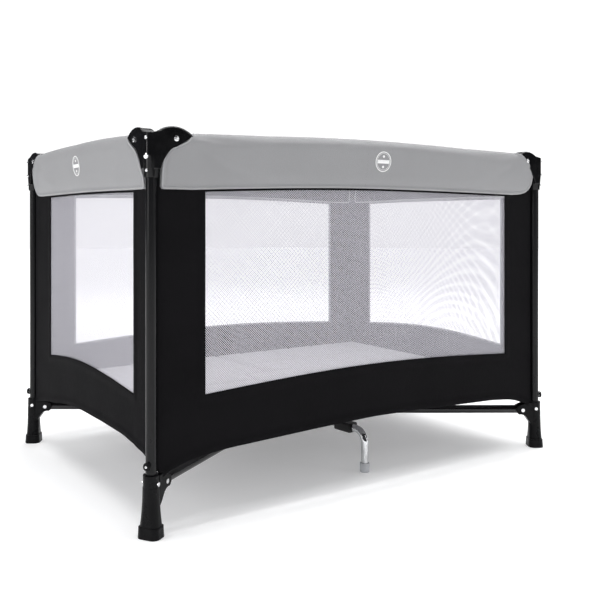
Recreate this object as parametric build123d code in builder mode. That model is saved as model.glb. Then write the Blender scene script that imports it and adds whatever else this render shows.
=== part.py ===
"""Folding playpen: four posts on boot feet, folding padded top rails, a hub-and-strut base and fabric sides.

Frame: X along the long sides, Y along the short sides, Z up, origin on the floor under the middle.
The front long side is at -Y. Millimetres.
"""

import os
from math import atan2, cos, hypot, sin

from build123d import *

os.makedirs("parts", exist_ok=True)

# Plan: distances between the post axes.
LONG_SPAN = 1000.0
SHORT_SPAN = 700.0

# Posts and tubes.
POST_R = 9.5
TUBE_WALL = 1.2
POST_BOTTOM_Z = 85.0
POST_TOP_Z = 681.0
RAIL_R = 7.5
STRUT_R = 9.5
LEG_R = 8.0
PIN_CLEARANCE = 0.1
FIT = 0.05

# Top rails: each side is two half rails, hinged at the corner caps and at a central latch.
RAIL_Z = 685.0
CAP_PIVOT = 41.0
LATCH_HALF_SPACING = 22.0
RAIL_PIN_R = 2.5
CHANNEL_HALF = 8.2

# Base: struts hinged at the feet and at the hub, all level when open.
BASE_Z = 88.0
FOOT_PIVOT = 31.2
STRUT_PIN_R = 3.0
STRUT_SLOT_HALF = 10.0

# Corner caps: a column that widens upwards from a round neck, with two arms.
CAP_TOP_Z = 695.0
CAP_SHOULDER_Z = 655.0
CAP_BOTTOM_Z = 617.0
CAP_NECK_R = 12.0
CAP_NECK_ROUND = 11.8
CAP_ARM_HALF = 13.5
CAP_CORNER_R = 9.0
CAP_TOP_ROUND = 3.0
CAP_ARM_ROOT = (6.0, 696.0)
CAP_ARM_PEAK = (37.0, 707.0)
CAP_ARM_TIP = (76.0, 692.0)
CAP_ARM_LOWER = ((43.0, 671.0), (29.5, 663.5), (22.5, 654.0), (17.0, 645.0), (12.5, 632.0))
CAP_ARM_ROUND = 5.0
CHANNEL_START = 32.0
CHANNEL_HEADROOM = 0.7

# Screws on a cap's outer edge: height, head radius, and reach of the head from the post axis.
CAP_SCREWS = ((685.0, 2.8, 15.9), (653.0, 4.4, 15.9), (629.0, 2.6, 14.4))
SCREW_SEAT = 10.5
SCREW_LENGTH_SLACK = 0.1
PIN_HEAD_H = 1.5
RAIL_PIN_HEAD_R = 4.5
STRUT_PIN_HEAD_R = 4.2
RIVET_HEAD_R = 3.7
KNOB_Z = 123.5
KNOB_R = 6.5
KNOB_H = 5.5

# Feet: base, then sections of the boot as (height, length, width, corner radius).
FOOT_TOP_Z = 107.0
FOOT_COLLAR_R = 14.0
FOOT_BASE = (35.0, 42.0)
FOOT_BASE_H = 19.0
FOOT_BASE_ROUND = 12.0
FOOT_BASE_TAPER = 3.0
FOOT_SECTIONS = (
    (19.0, 30.0, 37.0, 12.0),
    (42.0, 28.5, 32.5, 12.5),
    (64.0, 28.0, 30.0, 13.0),
    (86.0, 28.0, 29.0, 13.5),
)
FOOT_RIVET_Z = 92.0
FOOT_RIVET_REACH = 14.6
BRACKET_HALF = 13.0
BRACKET_LOWER = ((8.0, 52.0), (15.5, 60.0), (24.0, 72.0), (40.0, 77.5))
BRACKET_TIP = ((46.0, 85.0), (43.0, 96.0))
BRACKET_UPPER = ((30.0, 102.0), (8.0, 105.0))

# Latches and their release buttons.
LATCH_HALF_LENGTH = 32.0
LATCH_HALF_WIDTH = 12.5
LATCH_Z = (672.8, 694.0)
LATCH_FLOOR = 4.0
LATCH_CHAMFER = 6.0
BUTTON_STEM = (24.0, 10.0)
BUTTON_STEM_ROUND = 2.0
BUTTON_PAD = (30.0, 18.0)
BUTTON_PAD_ROUND = 4.0
BUTTON_Z = (664.0, 668.8, 688.0)
BUTTON_GAP = 0.3

# Hub and centre legs. A fork's root and tip are measured outwards from its pin, its edges up from the pin.
HUB_Z = (76.0, 102.0)
HUB_TOP_Z = 150.0
HUB_COLUMN_R = 18.0
HUB_PLATE_R = 50.0
HUB_PLATE_H = 6.0
HUB_RIB = (64.0, 6.0)
HUB_RIB_OVERLAP = 1.0
HUB_FORK = (-58.0, 12.0)
HUB_FORK_HALF = 13.5
LEG_FORK = (-32.0, 11.0)
LEG_FORK_HALF = 13.0
FORK_EDGES = (-12.0, 14.0)
FORK_CHAMFER = 6.0
FORK_SLOT_REACH = 40.0
LEG_PIVOT = (6.0, -50.0)
LEG_FOOT = (30.0, -280.0)
LEG_BEND_R = 26.0
LEG_SLOT_HALF = 9.6
LEG_CAP_R = 10.5
LEG_CAP_H = 20.0
LEG_CAP_ROUND = 2.0
LEG_TUBE_BOTTOM = 8.0
LEG_BRACKET_SPAN = (150.0, 194.0)
LEG_BRACKET_SIZE = (28.0, 21.0)
LEG_BRACKET_ROUND = 5.0

# Soft goods.
PAD_BOTTOM_Z = 600.0
PAD_TOP_Z = 711.0
PAD_HALF = 16.0
PAD_ROUND = 10.0
PAD_START = 16.5
PAD_MEETING_GAP = 0.3
PAD_RAIL_GAP = 0.5
PAD_CAP_GAP = 0.4
PAD_CAP_RECESS = (78.0, 623.0)
PAD_POCKET_HALF = (33.0, 13.3)
PAD_POCKET_Z = (662.0, 695.0)

# Upper edge of a pad beside a cap: points of the scoop, its end slopes, and the arch after it,
# whose middle point is given as shares of the half side and of the arch's rise.
PAD_SCOOP = ((18.0, 640.0), (25.0, 662.0), (44.0, 674.0), (62.0, 683.0), (74.0, 697.0))
PAD_SCOOP_SLOPES = ((0.1, 1.0), (0.5, 1.0))
PAD_ARCH_MIDDLE = (0.55, 0.78)

# Side fabric, floor and strap.
CLOTH_TOP_Z = 599.4
CLOTH_HALF = 1.2
CLOTH_CORNER_R = 10.2
HEM_CORNER_Z = 111.0
HEM_LONG_MID_Z = 138.0
HEM_SHORT_MID_Z = 148.0
HEM_LONG_VIA = (130.0, 124.0)
HEM_SHORT_VIA = (109.0, 134.0)
WINDOW_Z = (234.0, 592.0)
NET_HALF = 0.5

# Distance from each post to its two net windows: on the long side, on the short side.
WINDOW_EDGE = {
    "front_left": (105.0, 76.0),
    "front_right": (105.0, 105.0),
    "back_left": (106.0, 135.0),
    "back_right": (95.0, 85.0),
}
FLOOR_Z = (154.0, 167.0)
FLOOR_MARGIN = 14.0
FLOOR_CORNER_R = 20.0
STRAP_LENGTH = 90.0
STRAP_WIDTH = 25.0
STRAP_THICKNESS = 1.4
STRAP_GAP = 0.6
STRAP_LIFT = 0.1

# Lengths that follow from the plan. With these, one fold angle serves every hinge.
LONG_HALF = LONG_SPAN / 2
SHORT_HALF = SHORT_SPAN / 2
RAIL_LONG = LONG_HALF - CAP_PIVOT - LATCH_HALF_SPACING
RAIL_SHORT = SHORT_HALF - CAP_PIVOT - LATCH_HALF_SPACING
DIAGONAL = atan2(RAIL_SHORT, RAIL_LONG)
STRUT_LENGTH = hypot(RAIL_LONG, RAIL_SHORT)

CORNERS = {
    "front_left": (-1, -1),
    "front_right": (1, -1),
    "back_left": (-1, 1),
    "back_right": (1, 1),
}


def upright(origin, direction):
    """Vertical plane through origin, its x along a level direction and its y straight up."""
    along = Vector(*direction)
    return Plane(origin=origin, x_dir=along, z_dir=along.cross(Vector(0, 0, 1)))


def level(origin, z, direction):
    """Level plane at height z over origin, its x along a level direction."""
    return Plane(origin=Vector(*origin) + Vector(0, 0, z), x_dir=direction, z_dir=(0, 0, 1))


def offset_point(origin, direction, distance):
    """Point a distance along a direction from origin."""
    return Vector(*origin) + Vector(*direction) * distance


def save(part, name):
    """Label a finished sub-part and write it as its own STEP."""
    part.part.label = name
    export_step(part.part, f"parts/{name}.step")


def corner_axis(sides, z=0.0):
    """Point on a corner's post axis."""
    return Vector(sides[0] * LONG_HALF, sides[1] * SHORT_HALF, z)


def inward_x(sides):
    return Vector(-sides[0], 0, 0)


def inward_y(sides):
    return Vector(0, -sides[1], 0)


def inward_diagonal(sides):
    return Vector(-sides[0] * cos(DIAGONAL), -sides[1] * sin(DIAGONAL), 0)


def hinged_tube(start, direction, length, radius, hole_r):
    """Tube hinged at both ends: its ends are rounded about the two cross holes."""
    with BuildPart() as tube:
        with BuildSketch(Plane(origin=offset_point(start, direction, -radius), z_dir=direction)):
            Circle(radius)
            Circle(radius - TUBE_WALL, mode=Mode.SUBTRACT)
        extrude(amount=length + 2 * radius)
        with BuildSketch(upright(start, direction)):
            with Locations((length / 2, 0)):
                SlotCenterToCenter(length, 2 * radius)
        extrude(amount=radius + 1, both=True, mode=Mode.INTERSECT)
        with BuildSketch(upright(start, direction)):
            with Locations((0, 0), (length, 0)):
                Circle(hole_r)
        extrude(amount=radius + 1, both=True, mode=Mode.SUBTRACT)
    return tube


def make_post(name, sides):
    axis = corner_axis(sides)
    with BuildPart() as post:
        with BuildSketch(Plane(origin=axis + Vector(0, 0, POST_BOTTOM_Z))):
            Circle(POST_R)
            Circle(POST_R - TUBE_WALL, mode=Mode.SUBTRACT)
        extrude(amount=POST_TOP_Z - POST_BOTTOM_Z)
        with BuildSketch(upright(axis, inward_diagonal(sides))):
            with Locations((0, FOOT_RIVET_Z)):
                Circle(RAIL_PIN_R + FIT)
        extrude(amount=POST_R + 1, both=True, mode=Mode.SUBTRACT)
    save(post, f"{name}_post")


def cap_arm(axis, direction):
    """Beak-shaped arm over one half rail, its upper edges rounded."""
    with BuildPart() as arm:
        with BuildSketch(upright(axis, direction)):
            with BuildLine():
                Line((0, CAP_TOP_Z), CAP_ARM_ROOT)
                ThreePointArc(CAP_ARM_ROOT, CAP_ARM_PEAK, CAP_ARM_TIP)
                Line(CAP_ARM_TIP, CAP_ARM_LOWER[0])
                Spline(*CAP_ARM_LOWER)
                Polyline(CAP_ARM_LOWER[-1], (0, CAP_ARM_LOWER[-1][1]), (0, CAP_TOP_Z))
            make_face()
        extrude(amount=CAP_ARM_HALF, both=True)
        crest = arm.edges().filter_by(GeomType.CIRCLE)
        fillet(crest, CAP_ARM_ROUND)
    return arm.part


def make_corner_cap(name, sides):
    """Column over the post with two arms, each a channel open below for a half rail."""
    axis = corner_axis(sides)
    outward = -inward_diagonal(sides)
    with BuildPart() as cap:
        with BuildSketch(Plane(origin=axis + Vector(0, 0, CAP_BOTTOM_Z))):
            RectangleRounded(2 * CAP_NECK_R, 2 * CAP_NECK_R, CAP_NECK_ROUND)
        with BuildSketch(Plane(origin=axis + Vector(0, 0, CAP_SHOULDER_Z))):
            RectangleRounded(2 * CAP_ARM_HALF, 2 * CAP_ARM_HALF, CAP_CORNER_R)
        loft()
        with BuildSketch(Plane(origin=axis + Vector(0, 0, CAP_SHOULDER_Z))):
            RectangleRounded(2 * CAP_ARM_HALF, 2 * CAP_ARM_HALF, CAP_CORNER_R)
        extrude(amount=CAP_TOP_Z - CAP_SHOULDER_Z)
        fillet(cap.faces().sort_by(Axis.Z)[-1].edges(), CAP_TOP_ROUND)
        for direction in (inward_x(sides), inward_y(sides)):
            add(cap_arm(axis, direction))
        with BuildSketch(Plane(origin=axis + Vector(0, 0, CAP_BOTTOM_Z))):
            Circle(POST_R + FIT)
        extrude(amount=POST_TOP_Z - CAP_BOTTOM_Z + FIT, mode=Mode.SUBTRACT)
        for direction in (inward_x(sides), inward_y(sides)):
            channel_top = RAIL_Z + RAIL_R + CHANNEL_HEADROOM
            with BuildSketch(upright(axis, direction)):
                with Locations((CHANNEL_START + CAP_ARM_TIP[0] / 2, channel_top - CAP_ARM_TIP[0] / 2)):
                    Rectangle(CAP_ARM_TIP[0], CAP_ARM_TIP[0])
            extrude(amount=CHANNEL_HALF, both=True, mode=Mode.SUBTRACT)
            with BuildSketch(upright(axis, direction)):
                with Locations((CAP_PIVOT, RAIL_Z)):
                    Circle(RAIL_PIN_R + FIT)
            extrude(amount=CAP_ARM_HALF + 1, both=True, mode=Mode.SUBTRACT)
        for screw_z, screw_r, _ in CAP_SCREWS:
            seat = offset_point(axis + Vector(0, 0, screw_z), outward, SCREW_SEAT)
            with BuildSketch(Plane(origin=seat, z_dir=outward)):
                Circle(screw_r + FIT)
            extrude(amount=POST_R, mode=Mode.SUBTRACT)
    save(cap, f"{name}_corner_cap")


def make_foot(name, sides):
    """Boot foot: rounded base, waisted boot and a two-cheek bracket that holds the strut."""
    axis = corner_axis(sides)
    diagonal = inward_diagonal(sides)
    with BuildPart() as foot:
        with BuildSketch(level(axis, 0, diagonal)):
            RectangleRounded(*FOOT_BASE, FOOT_BASE_ROUND)
        extrude(amount=FOOT_BASE_H, taper=FOOT_BASE_TAPER)
        for section_z, length, width, corner in FOOT_SECTIONS:
            with BuildSketch(level(axis, section_z, diagonal)):
                RectangleRounded(length, width, corner)
        loft()
        with BuildSketch(upright(axis, diagonal)):
            with BuildLine():
                Spline(*BRACKET_LOWER)
                ThreePointArc(BRACKET_LOWER[-1], *BRACKET_TIP)
                Spline(BRACKET_TIP[-1], *BRACKET_UPPER)
                Line(BRACKET_UPPER[-1], BRACKET_LOWER[0])
            make_face()
        extrude(amount=BRACKET_HALF, both=True)
        with BuildSketch(Plane(origin=axis + Vector(0, 0, FOOT_SECTIONS[2][0]))):
            Circle(FOOT_COLLAR_R)
        extrude(amount=FOOT_TOP_Z - FOOT_SECTIONS[2][0])
        with BuildSketch(Plane(origin=axis + Vector(0, 0, POST_BOTTOM_Z))):
            Circle(POST_R + FIT)
        extrude(amount=FOOT_TOP_Z, mode=Mode.SUBTRACT)
        slot_floor = BASE_Z - STRUT_R - CHANNEL_HEADROOM
        slot_start = FOOT_PIVOT - STRUT_R - CHANNEL_HEADROOM
        with BuildSketch(upright(axis, diagonal)):
            with Locations((slot_start + FOOT_TOP_Z / 2, slot_floor + FOOT_TOP_Z / 2)):
                Rectangle(FOOT_TOP_Z, FOOT_TOP_Z)
        extrude(amount=STRUT_SLOT_HALF, both=True, mode=Mode.SUBTRACT)
        with BuildSketch(upright(axis, diagonal)):
            with Locations((FOOT_PIVOT, BASE_Z)):
                Circle(STRUT_PIN_R + FIT)
            with Locations((0, FOOT_RIVET_Z)):
                Circle(RAIL_PIN_R + FIT)
        extrude(amount=FOOT_BASE[1], both=True, mode=Mode.SUBTRACT)
    save(foot, f"{name}_foot")


def make_corner_fasteners(name, sides):
    """Rail pivot pins, strut pivot pin, foot rivet, cap screws and the knob rivet, each its own solid."""
    axis = corner_axis(sides)
    diagonal = inward_diagonal(sides)
    outward = -diagonal
    pins = (
        (upright(axis, inward_x(sides)), (CAP_PIVOT, RAIL_Z), RAIL_PIN_R, CAP_ARM_HALF, RAIL_PIN_HEAD_R),
        (upright(axis, inward_y(sides)), (CAP_PIVOT, RAIL_Z), RAIL_PIN_R, CAP_ARM_HALF, RAIL_PIN_HEAD_R),
        (upright(axis, diagonal), (FOOT_PIVOT, BASE_Z), STRUT_PIN_R, BRACKET_HALF, STRUT_PIN_HEAD_R),
        (upright(axis, diagonal), (0, FOOT_RIVET_Z), RAIL_PIN_R, FOOT_RIVET_REACH, RIVET_HEAD_R),
    )
    with BuildPart() as fasteners:
        for plane, place, radius, reach, head_r in pins:
            with BuildSketch(plane):
                with Locations(place):
                    Circle(radius)
            extrude(amount=reach + FIT, both=True)
            for side in (1, -1):
                with BuildSketch(plane.offset(side * (reach + FIT))):
                    with Locations(place):
                        Circle(head_r)
                extrude(amount=side * PIN_HEAD_H)
        for screw_z, screw_r, reach in CAP_SCREWS:
            inner_end = SCREW_SEAT + SCREW_LENGTH_SLACK
            start = offset_point(axis + Vector(0, 0, screw_z), outward, inner_end)
            with BuildSketch(Plane(origin=start, z_dir=outward)):
                Circle(screw_r)
            extrude(amount=reach - inner_end)
        knob_base = offset_point(axis + Vector(0, 0, KNOB_Z), outward, POST_R + FIT)
        with BuildSketch(Plane(origin=knob_base, z_dir=outward)):
            Circle(KNOB_R)
        extrude(amount=KNOB_H)
    save(fasteners, f"{name}_fasteners")


def make_half_rail(name, start, direction, length):
    rail = hinged_tube(start, direction, length, RAIL_R, RAIL_PIN_R + PIN_CLEARANCE)
    save(rail, f"{name}_half_rail")


def make_latch_housing(name, centre, direction):
    """Channel open above that joins two half rails, with moulded pins and a slot for the button."""
    low, high = LATCH_Z
    end = LATCH_HALF_LENGTH
    cut = LATCH_CHAMFER
    with BuildPart() as housing:
        with BuildSketch(upright(centre, direction)):
            with BuildLine():
                right_end = ((end - cut, low), (end, low + cut), (end, high))
                left_end = ((-end, high), (-end, low + cut), (cut - end, low))
                Polyline(*right_end, *left_end, close=True)
            make_face()
        extrude(amount=LATCH_HALF_WIDTH, both=True)
        with BuildSketch(upright(centre, direction)):
            with Locations((0, low + LATCH_FLOOR + high)):
                Rectangle(4 * LATCH_HALF_LENGTH, 2 * high)
        extrude(amount=CHANNEL_HALF, both=True, mode=Mode.SUBTRACT)
        with BuildSketch(upright(centre, direction)):
            with Locations((-LATCH_HALF_SPACING, RAIL_Z), (LATCH_HALF_SPACING, RAIL_Z)):
                Circle(RAIL_PIN_R)
        extrude(amount=LATCH_HALF_WIDTH, both=True)
        with BuildSketch(level(centre, low, direction)):
            Rectangle(BUTTON_STEM[0] + 2 * BUTTON_GAP, BUTTON_STEM[1] + 2 * BUTTON_GAP)
        extrude(amount=LATCH_FLOOR, mode=Mode.SUBTRACT)
    save(housing, f"{name}_latch_housing")


def make_latch_button(name, centre, direction):
    pad_low, pad_high, stem_high = BUTTON_Z
    with BuildPart() as button:
        with BuildSketch(level(centre, pad_low, direction)):
            RectangleRounded(*BUTTON_PAD, BUTTON_PAD_ROUND)
        extrude(amount=pad_high - pad_low)
        with BuildSketch(level(centre, pad_high, direction)):
            RectangleRounded(*BUTTON_STEM, BUTTON_STEM_ROUND)
        extrude(amount=stem_high - pad_high)
    save(button, f"{name}_latch_button")


def hub_pivot(sides):
    """Where a corner's strut is hinged to the hub."""
    foot_pivot = offset_point(corner_axis(sides, BASE_Z), inward_diagonal(sides), FOOT_PIVOT)
    return offset_point(foot_pivot, inward_diagonal(sides), STRUT_LENGTH)


def leg_direction(turn):
    run = Vector(LEG_FOOT[0] - LEG_PIVOT[0], LEG_FOOT[1] - LEG_PIVOT[1], 0) * turn
    return run.normalized()


def leg_hinge_plane(turn):
    """Upright plane across a centre leg's hinge pin, its x away from the hub."""
    return upright(Vector(LEG_PIVOT[0] * turn, LEG_PIVOT[1] * turn, BASE_Z), (0, -turn, 0))


def make_hub():
    """Column and table that carry the floor, with four strut forks and two leg forks open below."""
    low, high = HUB_Z
    fork_low, fork_high = FORK_EDGES
    strut_planes = [upright(hub_pivot(sides), -inward_diagonal(sides)) for sides in CORNERS.values()]
    leg_planes = [leg_hinge_plane(turn) for turn in (1, -1)]
    strut_fork = (HUB_FORK, HUB_FORK_HALF, STRUT_R, STRUT_SLOT_HALF, STRUT_PIN_R)
    leg_fork = (LEG_FORK, LEG_FORK_HALF, LEG_R, LEG_SLOT_HALF, RAIL_PIN_R)
    forks = [(plane, *strut_fork) for plane in strut_planes]
    forks += [(plane, *leg_fork) for plane in leg_planes]
    with BuildPart() as hub:
        with BuildSketch(Plane.XY.offset(low)):
            Circle(HUB_COLUMN_R)
        extrude(amount=HUB_TOP_Z - low)
        with BuildSketch(Plane.XY.offset(HUB_TOP_Z - HUB_PLATE_H)):
            Circle(HUB_PLATE_R)
        extrude(amount=HUB_PLATE_H)
        for rib in (HUB_RIB, HUB_RIB[::-1]):
            with BuildSketch(Plane.XY.offset(high - HUB_RIB_OVERLAP)):
                Rectangle(*rib)
            extrude(amount=HUB_TOP_Z - high)
        for plane, (root, tip), half, _, _, _ in forks:
            corner = ((tip, fork_high - FORK_CHAMFER), (tip - FORK_CHAMFER, fork_high))
            with BuildSketch(plane):
                with BuildLine():
                    Polyline((root, fork_low), (tip, fork_low), *corner, (root, fork_high), close=True)
                make_face()
            extrude(amount=half, both=True)
        for plane, _, _, tube_r, slot_half, _ in forks:
            slot_middle = FORK_SLOT_REACH / 2 - tube_r - CHANNEL_HEADROOM
            with BuildSketch(plane):
                with Locations((slot_middle, -slot_middle)):
                    Rectangle(FORK_SLOT_REACH, FORK_SLOT_REACH)
            extrude(amount=slot_half, both=True, mode=Mode.SUBTRACT)
        for plane, _, half, _, _, pin_r in forks:
            with BuildSketch(plane):
                Circle(pin_r)
            extrude(amount=half, both=True)
    save(hub, "hub")


def make_pull_strap():
    """Webbing loop lying flat on the hub's table."""
    loop_height = 2 * STRAP_THICKNESS + STRAP_GAP
    with BuildPart() as strap:
        with BuildSketch(upright((0, 0, HUB_TOP_Z + STRAP_LIFT + loop_height / 2), (1, 0, 0))):
            SlotOverall(STRAP_LENGTH, loop_height)
            SlotOverall(STRAP_LENGTH - 2 * STRAP_THICKNESS, STRAP_GAP, mode=Mode.SUBTRACT)
        extrude(amount=STRAP_WIDTH / 2, both=True)
    save(strap, "pull_strap")


def make_centre_leg(name, turn):
    """Bent leg tube hinged to the hub, its black bracket and its foot cap."""
    pivot = Vector(LEG_PIVOT[0] * turn, LEG_PIVOT[1] * turn, BASE_Z)
    foot = Vector(LEG_FOOT[0] * turn, LEG_FOOT[1] * turn, 0)
    along = leg_direction(turn)
    reach = (foot - Vector(pivot.X, pivot.Y, 0)).length
    plane = upright(pivot, along)
    with BuildPart() as leg:
        with BuildLine(plane) as route:
            FilletPolyline((LEG_R - 2, 0), (reach, 0), (reach, LEG_TUBE_BOTTOM - BASE_Z), radius=LEG_BEND_R)
        start = offset_point(pivot, along, LEG_R - 2)
        with BuildSketch(Plane(origin=start, z_dir=along)):
            Circle(LEG_R)
            Circle(LEG_R - TUBE_WALL, mode=Mode.SUBTRACT)
        sweep(path=route.wires()[0])
        with BuildSketch(upright(pivot, (0, -turn, 0))):
            Circle(LEG_R)
        extrude(amount=LEG_R, both=True)
        with BuildSketch(upright(pivot, (0, -turn, 0))):
            Circle(RAIL_PIN_R + PIN_CLEARANCE)
        extrude(amount=LEG_R + 1, both=True, mode=Mode.SUBTRACT)
    save(leg, f"{name}_leg_tube")

    with BuildPart() as bracket:
        near, far = LEG_BRACKET_SPAN
        width, height = LEG_BRACKET_SIZE
        with BuildSketch(Plane(origin=offset_point(pivot, along, near), x_dir=(0, 0, 1), z_dir=along)):
            RectangleRounded(height, width, LEG_BRACKET_ROUND)
            Circle(LEG_R + FIT, mode=Mode.SUBTRACT)
        extrude(amount=far - near)
    save(bracket, f"{name}_leg_bracket")

    with BuildPart() as cap:
        with BuildSketch(Plane(origin=foot)):
            Circle(LEG_CAP_R)
        extrude(amount=LEG_CAP_H)
        fillet(cap.edges().filter_by(GeomType.CIRCLE).group_by(Axis.Z)[0], LEG_CAP_ROUND)
        with BuildSketch(Plane(origin=foot + Vector(0, 0, LEG_TUBE_BOTTOM))):
            Circle(LEG_R + FIT)
        extrude(amount=LEG_CAP_H, mode=Mode.SUBTRACT)
    save(cap, f"{name}_leg_foot")


def make_half_pad(name, axis, direction, half_length):
    """Padded cover of a half rail: arched along the top, scooped round the corner cap's arm."""
    end = half_length - PAD_MEETING_GAP
    middle_z = (PAD_BOTTOM_Z + PAD_TOP_Z) / 2
    scoop_end_z = PAD_SCOOP[-1][1]
    arch_middle_z = scoop_end_z + PAD_ARCH_MIDDLE[1] * (PAD_TOP_Z - scoop_end_z)
    start = offset_point(axis + Vector(0, 0, middle_z), direction, PAD_START)
    with BuildPart() as pad:
        with BuildSketch(Plane(origin=start, x_dir=(0, 0, 1), z_dir=direction)):
            RectangleRounded(PAD_TOP_Z - PAD_BOTTOM_Z, 2 * PAD_HALF, PAD_ROUND)
        extrude(amount=end - PAD_START)
        with BuildSketch(upright(axis, direction)):
            with BuildLine():
                Line((PAD_START, PAD_BOTTOM_Z), PAD_SCOOP[0])
                Spline(*PAD_SCOOP, tangents=PAD_SCOOP_SLOPES)
                ThreePointArc(PAD_SCOOP[-1], (end * PAD_ARCH_MIDDLE[0], arch_middle_z), (end, PAD_TOP_Z))
                Polyline((end, PAD_TOP_Z), (end, PAD_BOTTOM_Z), (PAD_START, PAD_BOTTOM_Z))
            make_face()
        extrude(amount=PAD_HALF, both=True, mode=Mode.INTERSECT)
        with BuildSketch(Plane(origin=axis + Vector(0, 0, RAIL_Z), z_dir=direction)):
            Circle(RAIL_R + PAD_RAIL_GAP)
        extrude(amount=half_length, mode=Mode.SUBTRACT)
        recess_end, recess_low = PAD_CAP_RECESS
        with BuildSketch(upright(axis, direction)):
            with Locations((recess_end / 2, (recess_low + PAD_TOP_Z) / 2)):
                Rectangle(recess_end, PAD_TOP_Z - recess_low)
        extrude(amount=CAP_ARM_HALF + PAD_CAP_GAP, both=True, mode=Mode.SUBTRACT)
        pocket_low, pocket_high = PAD_POCKET_Z
        with BuildSketch(upright(axis, direction)):
            with Locations((half_length, (pocket_low + pocket_high) / 2)):
                Rectangle(2 * PAD_POCKET_HALF[0], pocket_high - pocket_low)
        extrude(amount=PAD_POCKET_HALF[1], both=True, mode=Mode.SUBTRACT)
    save(pad, f"{name}_half_pad")


def make_corner_cloth(name, sides):
    """Side fabric round one corner: black border with the net windows as thinner recesses."""
    axis = corner_axis(sides)
    long_edge, short_edge = WINDOW_EDGE[name]
    walls = (
        (inward_x(sides), LONG_HALF, HEM_LONG_MID_Z, HEM_LONG_VIA, long_edge),
        (inward_y(sides), SHORT_HALF, HEM_SHORT_MID_Z, HEM_SHORT_VIA, short_edge),
    )
    with BuildPart() as cloth:
        quadrant = 2 * CLOTH_CORNER_R
        with BuildSketch(Plane(origin=axis + Vector(0, 0, HEM_CORNER_Z))):
            Circle(CLOTH_CORNER_R + 2 * CLOTH_HALF)
            Circle(CLOTH_CORNER_R, mode=Mode.SUBTRACT)
            with Locations((-sides[0] * quadrant / 2, -sides[1] * quadrant / 2)):
                Rectangle(quadrant, quadrant, mode=Mode.INTERSECT)
        extrude(amount=CLOTH_TOP_Z - HEM_CORNER_Z)
        for direction, half_length, middle_z, via, _ in walls:
            end = half_length - PAD_MEETING_GAP
            start = CLOTH_CORNER_R + CLOTH_HALF
            with BuildSketch(upright(axis, direction)):
                with BuildLine():
                    hem = ThreePointArc((start, HEM_CORNER_Z), via, (end, middle_z))
                    Polyline(hem @ 1, (end, CLOTH_TOP_Z), (start, CLOTH_TOP_Z), hem @ 0)
                make_face()
            extrude(amount=CLOTH_HALF, both=True)
        low, high = WINDOW_Z
        for direction, half_length, _, _, edge in walls:
            for side in (1, -1):
                with BuildSketch(upright(axis, direction).offset(side * NET_HALF)):
                    with Locations(((edge + half_length) / 2, (low + high) / 2)):
                        Rectangle(half_length - edge, high - low)
                extrude(amount=side * CLOTH_HALF, mode=Mode.SUBTRACT)
    save(cloth, f"{name}_side_cloth")


def make_floor_quarter(name, sides):
    """Quarter of the quilted floor."""
    low, high = FLOOR_Z
    length = LONG_HALF - FLOOR_MARGIN - PAD_MEETING_GAP
    width = SHORT_HALF - FLOOR_MARGIN - PAD_MEETING_GAP
    middle = (sides[0] * (PAD_MEETING_GAP + length / 2), sides[1] * (PAD_MEETING_GAP + width / 2))
    outward = Vector(*sides, 0)
    with BuildPart() as floor:
        with BuildSketch(Plane.XY.offset(low)):
            with Locations(middle):
                Rectangle(length, width)
        extrude(amount=high - low)
        corner_edge = floor.edges().filter_by(Axis.Z).sort_by(lambda edge: edge.center().dot(outward))[-1]
        fillet(corner_edge, FLOOR_CORNER_R)
    save(floor, f"{name}_floor")


for corner, sides in CORNERS.items():
    make_post(corner, sides)
    make_corner_cap(corner, sides)
    make_foot(corner, sides)
    make_corner_fasteners(corner, sides)
    make_corner_cloth(corner, sides)
    make_floor_quarter(corner, sides)
    foot_pivot = offset_point(corner_axis(sides, BASE_Z), inward_diagonal(sides), FOOT_PIVOT)
    strut_hole_r = STRUT_PIN_R + PIN_CLEARANCE
    strut = hinged_tube(foot_pivot, inward_diagonal(sides), STRUT_LENGTH, STRUT_R, strut_hole_r)
    save(strut, f"{corner}_strut")

    front_or_back, left_or_right = corner.split("_")
    long_name = f"{front_or_back}_side_{left_or_right}"
    short_name = f"{left_or_right}_side_{front_or_back}"
    cap_height = corner_axis(sides, RAIL_Z)
    for name, direction, rail_length, half_length in (
        (long_name, inward_x(sides), RAIL_LONG, LONG_HALF),
        (short_name, inward_y(sides), RAIL_SHORT, SHORT_HALF),
    ):
        make_half_rail(name, offset_point(cap_height, direction, CAP_PIVOT), direction, rail_length)
        make_half_pad(name, corner_axis(sides), direction, half_length)

SIDES = {
    "front": ((0, -SHORT_HALF, 0), (1, 0, 0)),
    "back": ((0, SHORT_HALF, 0), (1, 0, 0)),
    "left": ((-LONG_HALF, 0, 0), (0, 1, 0)),
    "right": ((LONG_HALF, 0, 0), (0, 1, 0)),
}
for side, (centre, direction) in SIDES.items():
    make_latch_housing(side, centre, direction)
    make_latch_button(side, centre, direction)

make_hub()
make_pull_strap()
make_centre_leg("front", 1)
make_centre_leg("back", -1)
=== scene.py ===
import math

import bmesh
import bpy
import numpy as np
from mathutils import Matrix, Vector
from mathutils.bvhtree import BVHTree


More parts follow.
